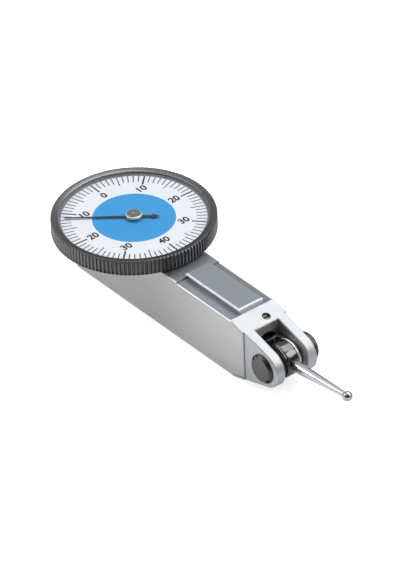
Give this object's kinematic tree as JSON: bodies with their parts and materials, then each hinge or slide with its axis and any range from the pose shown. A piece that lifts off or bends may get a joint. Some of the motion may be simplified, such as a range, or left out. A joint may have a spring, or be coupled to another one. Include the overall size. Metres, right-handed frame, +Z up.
{
  "type": "lever-type dial test indicator",
  "caption": "Lever-type dial test indicator: dovetailed slab case, fork nose with a swivelling ball stylus, geared movement and a round dial with a turning knurled bezel.",
  "frame": {"origin": "on the case's flat underside, straight below the dial's axis", "axes": "+X from the dial's axis to the stylus, +Y to the far side, +Z up through the dial"},
  "size_m": [0.08, 0.032, 0.0167],
  "materials": {
    "case_steel": "brushed warm grey steel",
    "nose_satin": "satin chrome, nearly white",
    "dark_steel": "blackened steel, satin",
    "hub_steel": "dark polished steel",
    "nickel": "warm nickel plate",
    "bezel_black": "dark grey anodised",
    "crystal_clear": "clear acrylic",
    "gasket_rubber": "black rubber",
    "dial_face": "white paint with a blue centre",
    "pointer_dark": "dark paint",
    "stylus_chrome": "mirror polished",
    "bright_steel": "bright ground steel",
    "screw_steel": "plain steel",
    "spring_steel": "blued spring steel",
    "movement_brass": "bare brass",
    "ruby": "synthetic ruby"
  },
  "bodies": {
    "case": {"case": "case_steel", "nose_block": "nose_satin", "nose_screw": "dark_steel", "pivot_screw_left": "dark_steel", "pivot_screw_right": "dark_steel", "pivot_bearing_left": "nickel", "pivot_bearing_right": "nickel", "movement_plate_left": "movement_brass", "movement_plate_right": "movement_brass", "pillar_front_upper": "movement_brass", "pillar_front_lower": "movement_brass", "pillar_rear_upper": "movement_brass", "pillar_rear_lower": "movement_brass", "crown_jewel_left": "ruby", "crown_jewel_right": "ruby", "arbor_jewel_lower": "ruby", "arbor_jewel_upper": "ruby", "movement_screw_front": "screw_steel", "movement_screw_rear": "screw_steel", "bezel_seat": "case_steel", "seat_screw_front": "screw_steel", "seat_screw_rear": "screw_steel", "bezel_snap_wire": "bright_steel", "hairspring": "spring_steel", "hairspring_stud": "movement_brass"},
    "bezel": {"bezel_ring": "bezel_black", "crystal": "crystal_clear", "crystal_gasket": "gasket_rubber", "dial_plate": "dial_face", "dial_retainer": "bright_steel"},
    "pointer": {"centre_arbor": "bright_steel", "hairspring_collet": "movement_brass", "pointer_boss": "nickel", "pointer_hand": "pointer_dark"},
    "crown": {"crown_shaft": "bright_steel", "lever_pinion": "bright_steel", "crown_gear": "movement_brass"},
    "lever": {"lever_arm": "dark_steel", "pivot_shaft": "bright_steel", "sector_gear": "movement_brass"},
    "stylus": {"contact_hub": "hub_steel", "friction_washer_left": "dark_steel", "friction_washer_right": "nickel", "stylus_shank": "stylus_chrome", "stylus_ball": "stylus_chrome"}
  },
  "joints": [
    {"name": "bezel_turn", "type": "hinge", "parent": "case", "child": "bezel", "pos_m": [0, 0, 0.0173], "axis": [0, 0, 1], "continuous": true},
    {"name": "lever_swing", "type": "hinge", "parent": "case", "child": "lever", "pos_m": [0.0443, 0, 0.0063], "axis": [0, 1, 0], "range_deg": [-1.22, 1.22], "stiffness_Nm_per_rad": 0.25},
    {"name": "crown_spin", "type": "hinge", "parent": "case", "child": "crown", "pos_m": [0, 0, 0.0063], "axis": [0, 1, 0], "range_deg": [-33.4, 33.4]},
    {"name": "pointer_spin", "type": "hinge", "parent": "case", "child": "pointer", "pos_m": [0, 0, 0.01667], "axis": [0, 0, 1], "range_deg": [-180, 180]},
    {"name": "stylus_swivel", "type": "hinge", "parent": "lever", "child": "stylus", "pos_m": [0.0443, 0, 0.0063], "axis": [0, 1, 0], "range_deg": [-95, 95]}
  ],
  "couplings": [
    {"joint": "crown_spin", "follows": "lever_swing", "ratio": -27.333},
    {"joint": "pointer_spin", "follows": "lever_swing", "ratio": -147.6}
  ]
}
